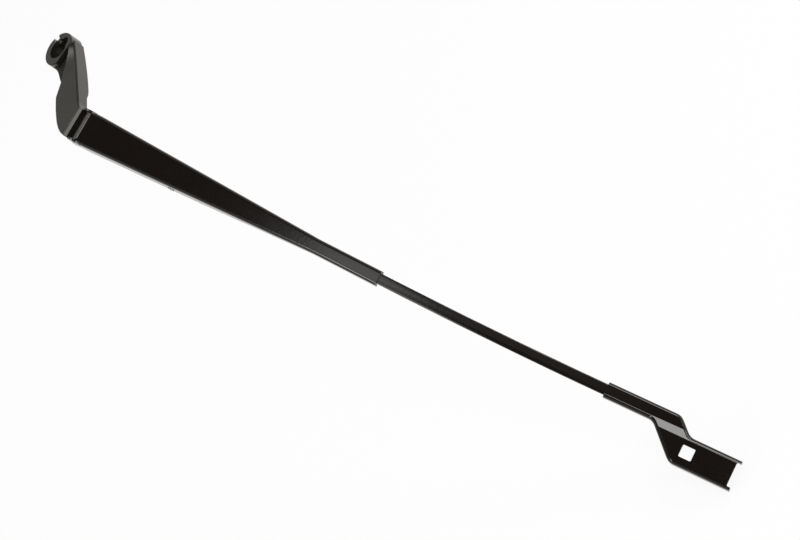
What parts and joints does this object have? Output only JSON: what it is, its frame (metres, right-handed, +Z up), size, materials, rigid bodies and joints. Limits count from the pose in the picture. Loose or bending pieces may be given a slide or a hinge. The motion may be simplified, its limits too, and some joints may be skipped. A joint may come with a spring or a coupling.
{
  "type": "windscreen wiper arm",
  "caption": "Sprung front wiper arm: cast cranked head, hinged steel retainer, flat rod and a joggled blade connector.",
  "frame": {"origin": "on the spindle's axis, at the seat of its nut", "axes": "+Z up along the spindle, +X from the hinge towards the blade, hinge pin along Y"},
  "size_m": [0.5664, 0.0848, 0.2886],
  "materials": {
    "head_coat": "satin black powder coat on a die casting",
    "arm_coat": "gloss black paint on pressed steel",
    "pin_steel": "bright plated steel",
    "link_steel": "zinc plated steel",
    "spring_steel": "oiled spring wire",
    "washer_plastic": "black nylon"
  },
  "bodies": {
    "head": {"head": "head_coat", "link_pin": "pin_steel"},
    "arm": {"hinge_pin": "pin_steel", "washer_left": "washer_plastic", "washer_right": "washer_plastic", "anchor_pin": "pin_steel", "retainer": "arm_coat", "rod": "arm_coat", "connector": "arm_coat"},
    "link": {"hook_link": "link_steel", "spring": "spring_steel"}
  },
  "joints": [
    {"name": "arm_raise", "type": "hinge", "parent": "head", "child": "arm", "pos_m": [0.0707, -0.0489, -0.0074], "axis": [0, -1, 0], "range_deg": [0, 115], "deforming": ["spring"]},
    {"name": "link_swing", "type": "hinge", "parent": "head", "child": "link", "pos_m": [0.06562, -0.0489, -0.00975], "axis": [0, -1, 0], "range_deg": [0, 109]}
  ],
  "couplings": [
    {"joint": "link_swing", "follows": "arm_raise", "ratio": 0.94663}
  ]
}
